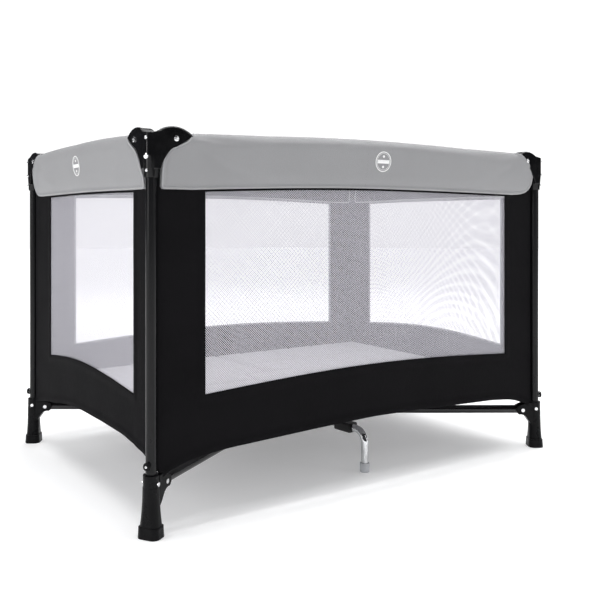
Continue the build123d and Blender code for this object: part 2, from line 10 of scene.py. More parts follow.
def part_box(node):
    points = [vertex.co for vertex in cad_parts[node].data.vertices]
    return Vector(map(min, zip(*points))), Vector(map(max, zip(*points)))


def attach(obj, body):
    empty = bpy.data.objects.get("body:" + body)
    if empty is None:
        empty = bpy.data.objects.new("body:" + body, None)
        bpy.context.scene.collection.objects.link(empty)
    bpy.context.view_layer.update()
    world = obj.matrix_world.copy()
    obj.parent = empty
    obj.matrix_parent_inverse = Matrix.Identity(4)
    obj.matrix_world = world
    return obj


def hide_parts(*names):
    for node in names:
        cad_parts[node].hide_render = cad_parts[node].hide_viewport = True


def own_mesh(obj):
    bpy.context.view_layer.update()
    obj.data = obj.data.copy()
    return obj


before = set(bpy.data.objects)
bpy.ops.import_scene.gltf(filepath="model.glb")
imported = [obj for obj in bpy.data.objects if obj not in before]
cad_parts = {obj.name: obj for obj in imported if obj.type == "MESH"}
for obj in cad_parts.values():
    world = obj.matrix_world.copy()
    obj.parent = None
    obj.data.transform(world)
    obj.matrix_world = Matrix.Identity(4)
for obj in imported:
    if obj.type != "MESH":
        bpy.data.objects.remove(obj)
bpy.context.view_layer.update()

MM = 0.001
scene = bpy.context.scene


def box_mm(node):
    low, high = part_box(node)
    return np.array(low) / MM, np.array(high) / MM


# ---- dimensions
post_low, post_high = box_mm("front_left_post")
LONG_HALF = -float(post_low[0] + post_high[0]) / 2
SHORT_HALF = -float(post_low[1] + post_high[1]) / 2
HALF = {"long": LONG_HALF, "short": SHORT_HALF}

RAIL_Z = 685.0
LATCH_CENTRE_Z = 675.0
CAP_PIVOT = 41.0
LATCH_PIVOT = 22.0

PAD_TOP_HALF = 16.0
PAD_FOOT_HALF = 4.0
PAD_FOOT_Z = 598.0
PAD_FULL_Z = 683.0
PAD_TOP_ROUND = 16.0
PAD_SIDE_ROUND = 6.0
PAD_FOOT_ROUND = 4.0
PAD_LEAST_HALF = 0.25
PAD_SWELL = 3.0
SCOOP_TOP = 78.0
# The two ends of a pad, left then right from outside. Knots are (distance from the post, height): the upper
# edge down to the end, and the lower edge. Crest and foot are the heights of the long edges, first at the
# ends and then in the middle.
PAD_ENDS = {
    "long": (
        {
            "upper": (
                (16.5, 628), (17.2, 641), (20, 652), (25, 662), (31, 667.5),
                (39, 671.5), (56, 678.5), (67, 686), (74, 696), (78, 697.4),
            ),
            "lower": ((16.5, 603), (18, 599.5), (22, 597.8), (30, 597.6)),
            "crest": (697.0, 711.0), "foot": (597.5, 608.5),
        },
        {
            "upper": (
                (17.5, 650), (19, 656.5), (24.8, 667), (33, 677.5),
                (43, 687), (53, 694.5), (64, 700), (78, 702.6),
            ),
            "lower": (
                (17.5, 646), (19, 635), (23, 625), (29, 617),
                (37, 611), (50, 606.5), (66, 604.3), (78, 604.0),
            ),
            "crest": (702.0, 711.0), "foot": (603.5, 608.5),
        },
    ),
    "short": (
        {
            "upper": ((28, 654), (30, 661), (37, 671), (48, 680.5), (64, 692), (78, 701.4)),
            "lower": ((28, 650), (29, 638), (33, 624), (40, 611), (50, 604), (64, 600.6), (78, 600.2)),
            "crest": (701.0, 706.5), "foot": (600.0, 601.0),
        },
        {
            "upper": (
                (17, 619), (20, 625), (24, 633), (29, 646), (35, 658),
                (47, 670.5), (61, 679), (70, 687), (76, 696), (78, 697.2),
            ),
            "lower": ((17, 604), (18.5, 600.5), (22, 598.4), (30, 598.2)),
            "crest": (697.0, 706.5), "foot": (598.0, 601.0),
        },
    ),
}
# Grooves beside the end seams and the lower seam: depth, distance from the seam, width.
END_GROOVE = (1.3, 7.5, 1.5)
LOWER_GROOVE = (0.6, 8, 1.6)
END_SEAM = 10
LOWER_SEAM = 9
CENTRE_HALF = 32.0
CUT_GAP = 0.05
WELT_R = 1.9
WELT_INSET = 2.2
WELT_STAND = 0.35

HEM = {
    "long": (
        (7, 109), (14, 108.5), (17, 102), (34, 106.5), (75, 119),
        (129, 126), (206, 130), (318, 134), (407, 137), (500, 139),
    ),
    "short": (
        (7, 109), (14, 108.5), (20, 104), (34, 105), (75, 114),
        (154, 126), (225, 137), (283, 143), (350, 147),
    ),
    "left_front": ((7, 124), (20, 131), (57, 139), (109, 146), (217, 148), (350, 147)),
}

WINDOW_BOTTOM = (232.0, 16.0)
WINDOW_GAP = 4.0
CLOTH_PATH = ((7.5, 7.5), (9.0, 5.7), (10.2, 3.7), (12.0, 2.3), (16, 1.1), (24, 0.2), (34, 0.0))
CLOTH_FLAT_FROM = 34
CLOTH_HALF = 0.6
CLOTH_RISE = 30.0
CLOTH_TUCK = 4
CLOTH_TOP_LIMIT = 612
BAND_HALF = 1.15
BAND = 10.0

NET_PITCH = 4.4
NET_COVER = 0.46
NET_TUCK = 5.0
NET_LOW = 220.0
NET_TOP = 618.0
NET_DEPTH = 1.6
NET_SLACK_FROM = 240

FLOOR_LOW = 154.3
FLOOR_HIGH = 166.0
FLOOR_REACH = (486.0, 336.0)
FLOOR_PATCH = (70.0, 60.0)
FLOOR_CELL = (FLOOR_REACH[0] / 6, FLOOR_REACH[1] / 4)
FLOOR_CORNER_R = 20.0
FLOOR_RIM_ROUND = 5.5
FLOOR_START = 0.15
FLOOR_SKIN = 0.3
FLOOR_LIMIT = 168.5
FLOOR_WELT_R = 2.6
PATCH_GAP = 0.4

EMBLEM_Z = {"front": 664.0, "left": 656.0}
EMBLEM_R = 20.8
EMBLEM_SHIFT = 8.5
# Rings of the badge as (inner, outer) distances in from its rim.
EMBLEM_RINGS = ((1.9, 0), (4.4, 3.8))
EMBLEM_BAR = (15.5, 3.6)
EMBLEM_DOT_Z = 10.6
EMBLEM_DOT_R = 2.6

SIDES = {
    "front": ("front_left", "front_right"),
    "back": ("back_right", "back_left"),
    "left": ("back_left", "front_left"),
    "right": ("front_right", "back_right"),
}
CORNERS = {"front_left": (-1, -1), "front_right": (1, -1), "back_left": (-1, 1), "back_right": (1, 1)}
# Distance from the post axis to the edge of the net window.
WINDOW_EDGE = {
    ("front", "front_left"): 105.0, ("front", "front_right"): 105.0,
    ("back", "back_left"): 106.0, ("back", "back_right"): 95.0,
    ("left", "front_left"): 76.0, ("left", "back_left"): 135.0,
    ("right", "front_right"): 105.0, ("right", "back_right"): 85.0,
}


def length_of(side):
    return "long" if side in ("front", "back") else "short"


def hem_of(side, corner):
    return HEM["left_front"] if (side, corner) == ("left", "front_left") else HEM[length_of(side)]


def rail_names(side, corner):
    """The rail body and the pad node of one half of a side."""
    front_or_back, left_or_right = corner.split("_")
    half = left_or_right if length_of(side) == "long" else front_or_back
    return f"rail_{side}_side_{half}", f"{side}_side_{half}_half_pad"


def to_wall(side, points):
    """Points (along, outward, up) of a side turned into the row frame, in metres."""
    p = np.asarray(points, float)
    across = SHORT_HALF if length_of(side) == "long" else LONG_HALF
    x, y = p[:, 0], -(across + p[:, 1])
    turned = {"front": (x, y), "back": (-x, -y), "left": (y, -x), "right": (-y, x)}[side]
    return np.column_stack([*turned, p[:, 2]]) * MM


def smooth_curve(knots, at):
    """Cubic through the knots with finite-difference slopes."""
    k = np.asarray(knots, float)
    x, y = k[:, 0], k[:, 1]
    slope = np.gradient(y, x)
    at = np.clip(at, x[0], x[-1])
    i = np.clip(np.searchsorted(x, at) - 1, 0, len(x) - 2)
    h = x[i + 1] - x[i]
    t = (at - x[i]) / h
    return (
        y[i] * (1 + 2 * t) * (1 - t) ** 2
        + y[i + 1] * t * t * (3 - 2 * t)
        + h * (slope[i] * t * (1 - t) ** 2 + slope[i + 1] * t * t * (t - 1))
    )


def smoothstep(x, low, high):
    t = np.clip((np.asarray(x, float) - low) / (high - low), 0, 1)
    return t * t * (3 - 2 * t)


def rounded(distance, radius):
    """Share of the full height at a distance in from an edge rounded with this radius."""
    return np.sqrt(np.clip(1 - (1 - np.clip(distance / radius, 0, 1)) ** 2, 0, 1))


def name_seed(text):
    """Small fixed number from a name, the same in every run."""
    return sum((k + 1) * ord(c) for k, c in enumerate(text)) % 9973


def ripple(a, b, period, seed):
    """Smooth seeded unevenness, about -1 to 1, over two coordinates."""
    rng = np.random.default_rng(seed)
    total = np.zeros(np.broadcast(a, b).shape)
    for _ in range(5):
        angle, phase = rng.uniform(0, math.pi), rng.uniform(0, 2 * math.pi)
        wave = period * rng.uniform(0.7, 1.8)
        total = total + np.sin((a * math.cos(angle) + b * math.sin(angle)) * 2 * math.pi / wave + phase)
    return total / 3.2


# ---- mesh tools
OUTWARD = (0.0, 1.0, 0.0)
UPWARD = (0.0, 0.0, 1.0)


def grid_faces(rows, columns, keep=None):
    """Quads of a rows x columns grid of points, where keep[row, column] is true."""
    i, j = np.meshgrid(np.arange(rows - 1), np.arange(columns - 1), indexing="ij")
    a = i * columns + j
    quads = np.stack([a, a + 1, a + columns + 1, a + columns], -1)
    return quads[keep] if keep is not None else quads.reshape(-1, 4)


def compact(points, faces):
    """Drops the points that no face uses."""
    used, index = np.unique(faces, return_inverse=True)
    return points[used], index.reshape(faces.shape), used


def shell(points, normals, faces, up, down):
    """Closed mesh from a patch whose points are pushed up and down along their normals."""
    n = len(points)
    normals = np.broadcast_to(normals, points.shape)
    up, down = np.broadcast_to(up, n), np.broadcast_to(down, n)
    both = np.vstack([points + normals * up[:, None], points - normals * down[:, None]])
    a = faces.ravel()
    b = np.roll(faces, -1, axis=1).ravel()
    edges = np.sort(np.column_stack([a, b]), axis=1)
    _, index, count = np.unique(edges, axis=0, return_inverse=True, return_counts=True)
    rim = count[index.ravel()] == 1
    walls = np.column_stack([b[rim], a[rim], a[rim] + n, b[rim] + n])
    return both, np.vstack([faces, faces[:, ::-1] + n, walls])


def tube(path, radius, sides=10):
    """Closed tube along a polyline, its rings square to it."""
    p = np.asarray(path, float)
    along = np.gradient(p, axis=0)
    along /= np.linalg.norm(along, axis=1)[:, None]
    first = np.cross(along, (0.31, 0.83, 0.46))
    first /= np.linalg.norm(first, axis=1)[:, None]
    second = np.cross(along, first)
    angle = np.arange(sides) * 2 * math.pi / sides
    radius = np.broadcast_to(radius, len(p))
    rings = p[:, None] + radius[:, None, None] * (
        first[:, None] * np.cos(angle)[None, :, None] + second[:, None] * np.sin(angle)[None, :, None]
    )
    faces = []
    for k in range(len(p) - 1):
        for s in range(sides):
            t = (s + 1) % sides
            faces.append((k * sides + s, k * sides + t, (k + 1) * sides + t, (k + 1) * sides + s))
    last = (len(p) - 1) * sides
    faces.append(tuple(reversed(range(sides))))
    faces.append(tuple(last + s for s in range(sides)))
    return rings.reshape(-1, 3), faces


def lathe(profile, sides=32):
    """Closed turned shape from (radius, height) pairs that start and end on the axis."""
    verts, faces, rings = [], [], []
    for radius, height in profile:
        if radius < 1e-6:
            rings.append([len(verts)])
            verts.append((0, 0, height))
        else:
            rings.append(list(range(len(verts), len(verts) + sides)))
            turns = [2 * math.pi * s / sides for s in range(sides)]
            verts += [(radius * math.cos(turn), radius * math.sin(turn), height) for turn in turns]
    for low, high in zip(rings, rings[1:]):
        for s in range(sides):
            t = (s + 1) % sides
            if len(low) == 1:
                faces.append((low[0], high[t], high[s]))
            elif len(high) == 1:
                faces.append((low[s], low[t], high[0]))
            else:
                faces.append((low[s], low[t], high[t], high[s]))
    return np.array(verts, float), faces


def disc_patch(radius, steps):
    """Square grid squeezed into a disc."""
    t = np.linspace(-1, 1, steps)
    x, y = np.meshgrid(t, t)
    u, v = x * np.sqrt(1 - y * y / 2), y * np.sqrt(1 - x * x / 2)
    return np.column_stack([u.ravel() * radius, v.ravel() * radius]), grid_faces(steps, steps)


def turn_to(points, origin, normal, spin=0.0):
    """Points about the Z axis set on origin with Z along normal, in millimetres."""
    matrix = Vector(normal).to_track_quat("Z", "Y").to_matrix() @ Matrix.Rotation(spin, 3, "Z")
    return np.asarray(points) @ np.array(matrix).T + np.asarray(origin, float)


class Pieces:
    """Parts of one mesh, each with its material number."""

    def __init__(self):
        self.verts, self.faces, self.numbers, self.count = [], [], [], 0

    def add(self, verts, faces, number=0):
        self.verts.append(np.asarray(verts, float))
        self.faces += [tuple(int(i) + self.count for i in f) for f in faces]
        self.numbers += [number] * len(faces)
        self.count += len(verts)
        return self

    def mesh(self, name):
        mesh = bpy.data.meshes.new(name)
        mesh.from_pydata(np.vstack(self.verts), [], self.faces)
        mesh.polygons.foreach_set("material_index", self.numbers)
        mesh.polygons.foreach_set("use_smooth", [True] * len(mesh.polygons))
        mesh.update()
        return mesh


def make_object(name, mesh, materials):
    mesh.name = name
    obj = bpy.data.objects.new(name, mesh)
    scene.collection.objects.link(obj)
    for m in materials:
        obj.data.materials.append(m)
    return obj


def mesh_points(mesh):
    co = np.empty(len(mesh.vertices) * 3, np.float32)
    mesh.vertices.foreach_get("co", co)
    return co.reshape(-1, 3).astype(float)


def set_points(mesh, points):
    mesh.vertices.foreach_set("co", np.asarray(points, np.float32).ravel())
    mesh.update()


def sharpen(mesh, degrees):
    bm = bmesh.new()
    bm.from_mesh(mesh)
    for e in bm.edges:
        e.smooth = e.calc_face_angle(0.0) < math.radians(degrees)
    bm.to_mesh(mesh)
    bm.free()


def subdivided(mesh):
    """The mesh after one level of Catmull-Clark subdivision."""
    obj = bpy.data.objects.new("subdividing", mesh)
    scene.collection.objects.link(obj)
    modifier = obj.modifiers.new("subdivide", "SUBSURF")
    modifier.levels = modifier.render_levels = 1
    graph = bpy.context.evaluated_depsgraph_get()
    made = bpy.data.meshes.new_from_object(obj.evaluated_get(graph))
    bpy.data.objects.remove(obj)
    return made


def inflated(verts, faces, pinned, cap, pressure=4.0, frames=18):
    """Fabric skin blown up by cloth simulation from its pinned seams, in millimetres.

    No point moves further than cap.
    """
    mesh = bpy.data.meshes.new("skin")
    mesh.from_pydata(verts * MM, [], [tuple(int(i) for i in f) for f in faces])
    obj = bpy.data.objects.new("skin", mesh)
    scene.collection.objects.link(obj)
    group = obj.vertex_groups.new(name="seams")
    group.add([int(i) for i in np.flatnonzero(pinned)], 1.0, "REPLACE")
    cloth = obj.modifiers.new("cloth", "CLOTH")
    cloth.point_cache.frame_start, cloth.point_cache.frame_end = 1, frames
    s = cloth.settings
    s.quality = 6
    s.mass = 0.25
    s.tension_stiffness = s.compression_stiffness = 12
    s.shear_stiffness = 6
    s.bending_stiffness = 1.5
    s.vertex_group_mass = "seams"
    s.use_pressure = True
    s.uniform_pressure_force = pressure
    s.effector_weights.gravity = 0
    for number in range(1, frames + 1):
        scene.frame_set(number)
    graph = bpy.context.evaluated_depsgraph_get()
    moved = mesh_points(obj.evaluated_get(graph).data) / MM
    bpy.data.objects.remove(obj)
    scene.frame_set(1)
    shift = moved - verts
    size = np.linalg.norm(shift, axis=1)
    return verts + shift * np.minimum(1, cap / np.maximum(size, 1e-9))[:, None]


def cut_between(mesh, low, high):
    """Part of a mesh between two planes across its X axis, its cut faces closed. Millimetres."""
    bm = bmesh.new()
    bm.from_mesh(mesh)
    for place, direction in ((low, -1), (high, 1)):
        if place is None:
            continue
        bmesh.ops.bisect_plane(
            bm, geom=bm.verts[:] + bm.edges[:] + bm.faces[:], dist=1e-6,
            plane_co=(place, 0, 0), plane_no=(direction, 0, 0), clear_outer=True,
        )
        rim = [e for e in bm.edges if e.is_boundary]
        for face in bmesh.ops.holes_fill(bm, edges=rim)["faces"]:
            face.smooth = False
            for e in face.edges:
                e.smooth = False
    made = bpy.data.meshes.new("part")
    bm.to_mesh(made)
    bm.free()
    return made


# ---- materials
class Shader:
    """A principled material and short calls for its node tree."""

    def __init__(self, name):
        self.material = bpy.data.materials.new(name)
        self.material.use_nodes = True
        self.tree = self.material.node_tree
        self.main = next(n for n in self.tree.nodes if n.type == "BSDF_PRINCIPLED")
        self.place = self.node("ShaderNodeTexCoord").outputs["Object"]

    def node(self, kind, **values):
        made = self.tree.nodes.new(kind)
        for key, value in values.items():
            setattr(made, key, value)
        return made

    def join(self, source, target):
        self.tree.links.new(source, target)

    def math(self, operation, a, b=None):
        n = self.node("ShaderNodeMath", operation=operation)
        for slot, value in zip(n.inputs, (a, b)):
            if value is None:
                continue
            if isinstance(value, (int, float)):
                slot.default_value = value
            else:
                self.join(value, slot)
        return n.outputs[0]

    def noise(self, scale, detail=3.0, rough=0.55, stretch=None):
        n = self.node("ShaderNodeTexNoise")
        n.inputs["Scale"].default_value = scale
        n.inputs["Detail"].default_value = detail
        n.inputs["Roughness"].default_value = rough
        place = self.place
        if stretch:
            mapping = self.node("ShaderNodeMapping")
            mapping.inputs["Scale"].default_value = stretch
            self.join(place, mapping.inputs["Vector"])
            place = mapping.outputs[0]
        self.join(place, n.inputs["Vector"])
        return n.outputs["Fac"]

    def ranged(self, value, low, high, start=0.3, end=0.7):
        n = self.node("ShaderNodeMapRange")
        n.inputs["From Min"].default_value, n.inputs["From Max"].default_value = start, end
        n.inputs["To Min"].default_value, n.inputs["To Max"].default_value = low, high
        self.join(value, n.inputs["Value"])
        return n.outputs[0]

    def blend(self, fac, a, b):
        n = self.node("ShaderNodeMix", data_type="RGBA")
        self.join(fac, n.inputs["Factor"])
        for slot, value in ((n.inputs[6], a), (n.inputs[7], b)):
            if isinstance(value, tuple):
                slot.default_value = (*value, 1)
            else:
                self.join(value, slot)
        return n.outputs[2]

    def weave(self, period, flat=False):
        """Height of a plain weave whose threads follow the panel's own directions."""
        parts = self.node("ShaderNodeSeparateXYZ")
        self.join(self.place, parts.inputs[0])
        x, y, z = parts.outputs
        across = x if flat else self.math("ADD", x, y)
        up = y if flat else z
        k = math.pi / (period * MM)
        a = self.math("SINE", self.math("MULTIPLY", across, k))
        b = self.math("SINE", self.math("MULTIPLY", up, k))
        return self.math("MULTIPLY", a, b)

    def bump(self, height, distance, strength=1.0, under=None):
        n = self.node("ShaderNodeBump")
        n.inputs["Strength"].default_value = strength
        n.inputs["Distance"].default_value = distance * MM
        self.join(height, n.inputs["Height"])
        if under is not None:
            self.join(under, n.inputs["Normal"])
        return n.outputs[0]

    def colour(self, socket):
        self.join(socket, self.main.inputs["Base Color"])

    def rough(self, socket):
        self.join(socket, self.main.inputs["Roughness"])

    def normal(self, socket):
        self.join(socket, self.main.inputs["Normal"])

    def set(self, **values):
        for key, value in values.items():
            self.main.inputs[key.replace("_", " ")].default_value = value

    def edges(self, radius):
        """Rounded-edge normal and how far each point is on such an edge."""
        n = self.node("ShaderNodeBevel", samples=6)
        n.inputs["Radius"].default_value = radius * MM
        geometry = self.node("ShaderNodeNewGeometry")
        dot = self.node("ShaderNodeVectorMath", operation="DOT_PRODUCT")
        self.join(n.outputs[0], dot.inputs[0])
        self.join(geometry.outputs["Normal"], dot.inputs[1])
        return n.outputs[0], self.ranged(dot.outputs["Value"], 1.0, 0.0, 0.7, 0.995)


def shade(colour, factor):
    return tuple(min(1.0, c * factor) for c in colour)


def woven(name, colour, period, rough=0.85, spec=0.3, sheen=0.2, flat=False, relief=0.25, variation=0.12):
    """Woven fabric: threads, slubs, faint soiling and soft creases."""
    s = Shader(name)
    weave = s.weave(period, flat)
    slub = s.noise(900, 2, 0.6, (1, 1, 0.12))
    cloud = s.noise(9, 4)
    tone = s.blend(s.ranged(cloud, 0, 1), shade(colour, 1 - variation), shade(colour, 1 + variation))
    thread = s.blend(s.ranged(s.math("ADD", weave, slub), 0, 1, -0.4, 1.4), shade(colour, 0.75), tone)
    s.colour(thread)
    s.rough(s.ranged(slub, rough - 0.1, min(1.0, rough + 0.08)))
    crease = s.bump(s.noise(28, 3), 2.0, 0.12)
    s.normal(s.bump(s.math("ADD", weave, s.math("MULTIPLY", slub, 0.6)), relief, 0.5, crease))
    s.set(Specular_IOR_Level=spec, Sheen_Weight=sheen, Sheen_Roughness=0.5)
    s.main.inputs["Sheen Tint"].default_value = (*shade(colour, 1.2), 1)
    return s.material


def moulded(name, colour, rough, radius=1.0, grain=0.06, spec=0.5):
    """Injection-moulded plastic: fine spark grain, flow marks, handling wear on the edges."""
    s = Shader(name)
    edge_normal, edge = s.edges(radius)
    flow = s.noise(14, 4)
    tone = s.blend(s.ranged(flow, 0, 1), shade(colour, 0.8), shade(colour, 1.25))
    worn = s.math("MULTIPLY", edge, s.ranged(s.noise(160, 4), 0, 0.5))
    s.colour(s.blend(worn, tone, tuple(c * 1.4 + 0.015 for c in colour)))
    smear = s.ranged(s.noise(45, 5), rough - 0.07, rough + 0.09)
    s.rough(s.math("ADD", smear, s.math("MULTIPLY", worn, 0.25)))
    s.normal(s.bump(s.noise(2600, 2), grain, 0.5, edge_normal))
    s.set(Specular_IOR_Level=spec)
    return s.material


def coated(name, colour, rough, spec=0.5):
    """Powder-coated tube: orange peel, faint scuffs along it."""
    s = Shader(name)
    edge_normal, edge = s.edges(0.5)
    peel = s.noise(700, 2)
    scuff = s.ranged(s.noise(260, 5, 0.7, (1, 1, 0.08)), 0, 0.3, 0.68, 0.85)
    tone = s.blend(s.ranged(s.noise(11, 3), 0, 1), shade(colour, 0.85), shade(colour, 1.15))
    worn = s.math("MAXIMUM", scuff, s.math("MULTIPLY", edge, 0.2))
    s.colour(s.blend(worn, tone, tuple(c * 1.3 + 0.012 for c in colour)))
    gloss = s.ranged(s.noise(25, 2), rough - 0.03, rough + 0.03)
    s.rough(s.math("ADD", gloss, s.math("MULTIPLY", scuff, 0.12)))
    s.normal(s.bump(peel, 0.03, 0.2, edge_normal))
    s.set(Specular_IOR_Level=spec)
    return s.material


def metal(name, colour, rough, drawn=0.3):
    """Bare or plated metal with draw lines and light tarnish."""
    s = Shader(name)
    edge_normal, _ = s.edges(0.4)
    line = s.noise(420, 3, 0.6, (1, 1, 0.05))
    tarnish = s.ranged(s.noise(35, 5), 0, 1, 0.45, 0.8)
    s.colour(s.blend(tarnish, colour, shade(colour, 0.72)))
    s.rough(s.math("ADD", s.ranged(line, rough * 0.7, rough * 1.5), s.math("MULTIPLY", tarnish, 0.1)))
    s.normal(s.bump(line, 0.05, drawn, edge_normal))
    s.set(Metallic=1.0)
    return s.material


pad_cloth = woven(
    "pad_cloth", (0.298, 0.298, 0.305), 0.9, rough=0.6, sheen=0.12, relief=0.18, variation=0.05
)
welt_cloth = woven(
    "welt_cloth", (0.37, 0.37, 0.378), 0.8, rough=0.75, spec=0.4, sheen=0.25, relief=0.15, variation=0.05
)
side_cloth = woven(
    "side_cloth", (0.0062, 0.0059, 0.0068), 0.9, rough=0.78, spec=0.06, sheen=0.01, relief=0.16, variation=0.2
)
net_yarn = woven("net_yarn", (0.74, 0.725, 0.79), 0.5, rough=0.7, relief=0.1, variation=0.04)
mat_cloth = woven(
    "mat_cloth", (0.33, 0.325, 0.338), 0.9, spec=0.25, sheen=0.3, flat=True, relief=0.2, variation=0.05
)
mat_welt = woven("mat_welt", (0.2, 0.2, 0.206), 0.8, rough=0.8, flat=True, relief=0.15, variation=0.06)
emblem_print = woven(
    "emblem_print", (0.88, 0.88, 0.88), 0.6, rough=0.6, spec=0.35, sheen=0.05, relief=0.06, variation=0.03
)
strap_web = woven(
    "strap_web", (0.012, 0.012, 0.013), 1.6, rough=0.7, sheen=0.1, flat=True, relief=0.4, variation=0.2
)
cap_plastic = moulded("cap_plastic", (0.0035, 0.0035, 0.0039), 0.13, radius=1.6, grain=0.015, spec=0.3)
foot_plastic = moulded("foot_plastic", (0.004, 0.004, 0.0045), 0.28, radius=1.2, grain=0.05, spec=0.1)
latch_plastic = moulded("latch_plastic", (0.007, 0.007, 0.0075), 0.35, radius=0.8, spec=0.3)
button_plastic = moulded("button_plastic", (0.25, 0.04, 0.035), 0.38, radius=0.8)
hub_plastic = moulded("hub_plastic", (0.006, 0.006, 0.0065), 0.36, spec=0.25)
leg_cap_plastic = moulded("leg_cap_plastic", (0.42, 0.43, 0.45), 0.4)
post_paint = coated("post_paint", (0.005, 0.005, 0.0056), 0.22, spec=0.2)
rail_metal = metal("rail_metal", (0.55, 0.55, 0.56), 0.28)
strut_paint = coated("strut_paint", (0.006, 0.006, 0.0065), 0.16, spec=0.45)
chrome = metal("chrome", (0.62, 0.63, 0.64), 0.13, drawn=0.15)
screw_metal = metal("screw_metal", (0.78, 0.78, 0.79), 0.18, drawn=0.1)

# The finish of a CAD node goes by the first of these endings that its name has.
NODE_FINISHES = (
    ("_post", post_paint), ("_corner_cap", cap_plastic), ("_leg_foot", leg_cap_plastic),
    ("_foot", foot_plastic), ("_fasteners", screw_metal), ("_side_cloth", side_cloth),
    ("_floor", mat_cloth), ("_strut", strut_paint), ("_half_rail", rail_metal), ("_half_pad", pad_cloth),
    ("_latch_housing", latch_plastic), ("_latch_button", button_plastic), ("_leg_tube", chrome),
    ("_leg_bracket", hub_plastic), ("pull_strap", strap_web), ("hub", hub_plastic),
)
for name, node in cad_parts.items():
    node.data.materials.clear()
    node.data.materials.append(next(finish for ending, finish in NODE_FINISHES if name.endswith(ending)))


# ---- padded rails
def long_edge(ends, s, half):
    """Height of a pad's long edge that swells towards the middle of the side."""
    share = np.clip((s - SCOOP_TOP) / (half - SCOOP_TOP), 0, 1)
    return ends[0] + (ends[1] - ends[0]) * np.sin(math.pi / 2 * share)


def pad_edge(kind, u, knots, line):
    """Height of a pad's upper or lower edge: knots near its two ends, a swelling line between them."""
    half = HALF[kind]
    s, right = half - np.abs(u), np.asarray(u) > 0
    heights = [
        np.where(s < end[knots][-1][0], smooth_curve(end[knots], s), long_edge(end[line], s, half))
        for end in PAD_ENDS[kind]
    ]
    return np.where(right, heights[1], heights[0])


def pad_top(kind, u):
    return pad_edge(kind, u, "upper", "crest")


def pad_bottom(kind, u):
    return pad_edge(kind, u, "lower", "foot")


def nearest(points, line):
    """Distance from each point to a dense line of points."""
    out = np.empty(len(points))
    for k in range(0, len(points), 800):
        d = points[k : k + 800, None] - line[None]
        out[k : k + 800] = np.sqrt((d * d).sum(-1)).min(1)
    return out


def end_line(kind, right):
    """Outline of a pad's end as (along, height), from its lower edge round to its upper edge."""
    half, end = HALF[kind], PAD_ENDS[kind][right]
    sign = 1 if right else -1

    def dense(knots):
        start, finish = knots[0][0], knots[-1][0]
        close = start + np.array([0, 0.15, 0.5, 1.1])
        x = np.concatenate([close, np.arange(start + 2, finish, 0.8), [finish]])
        return np.column_stack([sign * (half - x), smooth_curve(knots, x)])

    lower, upper = dense(end["lower"]), dense(end["upper"])
    tip = np.linspace(lower[0], upper[0], max(3, int(abs(upper[0, 1] - lower[0, 1])) + 1))[1:-1]
    return np.vstack([lower[::-1], tip, upper])


def pad_half_thickness(kind, u, z):
    """Half thickness at places on a pad, and their distances to its end and lower seams."""
    half = HALF[kind]
    places = np.column_stack([u, z])
    along = np.linspace(SCOOP_TOP - half, half - SCOOP_TOP, 460)
    to_top = nearest(places, np.column_stack([along, pad_top(kind, along)]))
    to_side = nearest(places, np.vstack([end_line(kind, 0), end_line(kind, 1)]))
    low_line = np.linspace(40 - half, half - 40, 460)
    to_bottom = nearest(places, np.column_stack([low_line, pad_bottom(kind, low_line)]))

    def groove(to_seam, depth, place, width):
        return depth * np.exp(-(((to_seam - place) / width) ** 2))

    rise = np.clip((z - PAD_FOOT_Z) / (PAD_FULL_Z - PAD_FOOT_Z), 0, 1)
    base = PAD_FOOT_HALF + (PAD_TOP_HALF - PAD_FOOT_HALF) * rise**0.85
    grooves = groove(to_side, *END_GROOVE) + groove(to_bottom, *LOWER_GROOVE)
    h = base * rounded(to_top, PAD_TOP_ROUND) * rounded(to_side, PAD_SIDE_ROUND)
    h = h * rounded(to_bottom, PAD_FOOT_ROUND)
    return np.maximum(h - grooves * (h > 3), PAD_LEAST_HALF), to_side, to_bottom


def pad_columns(kind):
    """Places along a side for the columns of a pad's mesh, closer together at its ends."""
    half = HALF[kind]
    steps = np.array([0, 0.7, 1.8, 3.2, 5, 7.5, 10.5, 14, 18, 22.5, 28, 34, 40, 45, 49, 53, 56, 58.5, 61.5])
    ends = []
    for end in PAD_ENDS[kind]:
        start = end["upper"][0][0]
        near = start + steps[steps < SCOOP_TOP - start]
        rest = np.linspace(SCOOP_TOP, half, int((half - SCOOP_TOP) / 8.5) + 1)
        ends.append(np.concatenate([near, rest]))
    return np.concatenate([ends[0] - half, (half - ends[1])[::-1][1:]])


def welt_path(kind, face):
    """Line of the piping round both ends and along the lower edge, on the outer (1) or inner (-1) face."""

    def moved_in(line, turn):
        step = np.gradient(line, axis=0)
        step /= np.linalg.norm(step, axis=1)[:, None]
        return line + np.column_stack([step[:, 1], -step[:, 0]]) * WELT_INSET * turn

    left = moved_in(end_line(kind, 0), 1)[::-1]
    right = moved_in(end_line(kind, 1), -1)
    middle = np.arange(left[-1, 0] + 4, right[0, 0] - 3, 6.0)
    line = np.vstack([left, np.column_stack([middle, pad_bottom(kind, middle) + WELT_INSET]), right])
    kept = [0]
    for k in range(1, len(line)):
        if np.linalg.norm(line[k] - line[kept[-1]]) > 1.6:
            kept.append(k)
    line = line[kept]
    h, _, _ = pad_half_thickness(kind, line[:, 0], line[:, 1])
    return np.column_stack([line[:, 0], face * (h + WELT_STAND), line[:, 1]])


